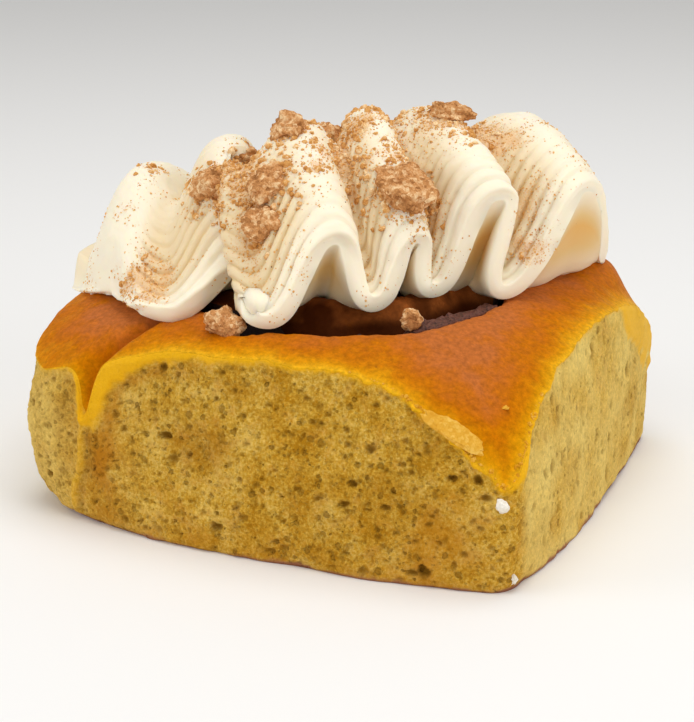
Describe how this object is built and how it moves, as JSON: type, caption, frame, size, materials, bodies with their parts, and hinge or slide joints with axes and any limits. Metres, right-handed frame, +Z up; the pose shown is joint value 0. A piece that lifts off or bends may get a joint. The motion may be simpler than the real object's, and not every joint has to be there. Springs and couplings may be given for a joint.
{
  "type": "cinnamon roll",
  "caption": "Square pull-apart cinnamon roll with torn sides, a spiral of filling, a folded ribbon of piped frosting and crumble on top.",
  "frame": {"origin": "middle of the flat underside", "axes": "+Z up, -Y towards the large torn front, +X towards the torn right side"},
  "size_m": [0.1121, 0.1047, 0.0791],
  "materials": {
    "dough": "baked bread: satin brown crust over a torn, porous yellow crumb",
    "filling": "sticky dark cinnamon sugar",
    "frosting": "smooth soft cream frosting",
    "streusel": "dry grainy baked crumble"
  },
  "bodies": {
    "root": {"dough": "dough", "cinnamon_filling": "filling", "frosting": "frosting", "streusel_01": "streusel", "streusel_02": "streusel", "streusel_03": "streusel", "streusel_04": "streusel", "streusel_05": "streusel", "streusel_06": "streusel", "streusel_07": "streusel", "streusel_08": "streusel", "streusel_09": "streusel"}
  },
  "joints": []
}
